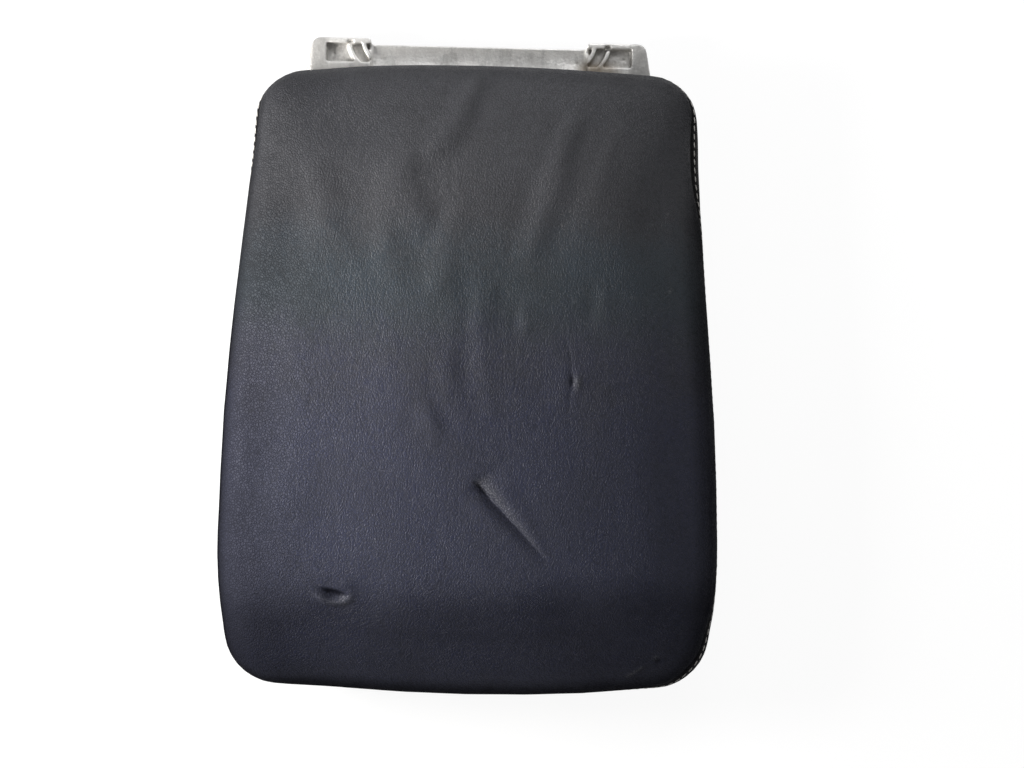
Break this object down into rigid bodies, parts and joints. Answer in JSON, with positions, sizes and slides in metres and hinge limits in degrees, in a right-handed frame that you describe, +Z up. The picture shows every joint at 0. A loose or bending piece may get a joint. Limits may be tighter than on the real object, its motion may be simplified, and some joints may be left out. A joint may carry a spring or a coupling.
{
  "type": "car armrest",
  "caption": "Leather-covered, foam-padded centre console lid on a die-cast aluminium frame with a rear hinge, a hinge base and a sprung latch under the front edge.",
  "frame": {"origin": "middle of the armrest's footprint, on the plane that the hinge base's foot and the rubber buffers stand on", "axes": "+X to the right of someone looking forward over the hinge at the rear, +Y from the front edge to the hinge, +Z up out of the leather"},
  "size_m": [0.2486, 0.3286, 0.0595],
  "materials": {
    "base_steel": "satin black e-coat",
    "bush_plastic": "natural",
    "bright_steel": "turned",
    "cast_aluminium": "as die cast, unpainted",
    "carrier_plastic": "moulded",
    "foam": "moulded foam",
    "leather_top": "fine grain, worn",
    "leather_band": "fine grain",
    "zinc_screws": "zinc plated",
    "cover_plastic": "fine grain",
    "black_screws": "black",
    "buffer_rubber": "matt",
    "latch_plastic": "moulded",
    "spring_steel": "drawn wire",
    "lever_plastic": "satin"
  },
  "bodies": {
    "base": {"hinge_base": "base_steel", "bush_left": "bush_plastic", "bush_right": "bush_plastic", "spring_washer_left": "bright_steel", "spring_washer_right": "bright_steel"},
    "lid": {"cast_frame": "cast_aluminium", "hinge_pin_left": "bright_steel", "hinge_pin_right": "bright_steel", "pad_carrier": "carrier_plastic", "foam_pad": "foam", "leather_top": "leather_top", "leather_band": "leather_band", "carrier_screws": "zinc_screws", "lower_cover": "cover_plastic", "cover_screws": "black_screws", "buffer_front_left": "buffer_rubber", "buffer_front_right": "buffer_rubber", "buffer_rear_left": "buffer_rubber", "buffer_rear_right": "buffer_rubber", "latch_housing": "latch_plastic", "latch_screws": "zinc_screws", "latch_pin": "bright_steel", "latch_spring": "spring_steel"},
    "latch": {"latch_lever": "lever_plastic"}
  },
  "joints": [
    {"name": "lid_hinge", "type": "hinge", "parent": "base", "child": "lid", "pos_m": [0, 0.15675, 0.0095], "axis": [-1, 0, 0], "range_deg": [0, 95]},
    {"name": "latch_pivot", "type": "hinge", "parent": "lid", "child": "latch", "pos_m": [0, -0.13945, 0.0125], "axis": [-1, 0, 0], "range_deg": [0, 15], "stiffness_Nm_per_rad": 0.15, "springref_deg": -28.65, "deforming": ["latch_spring"]}
  ]
}
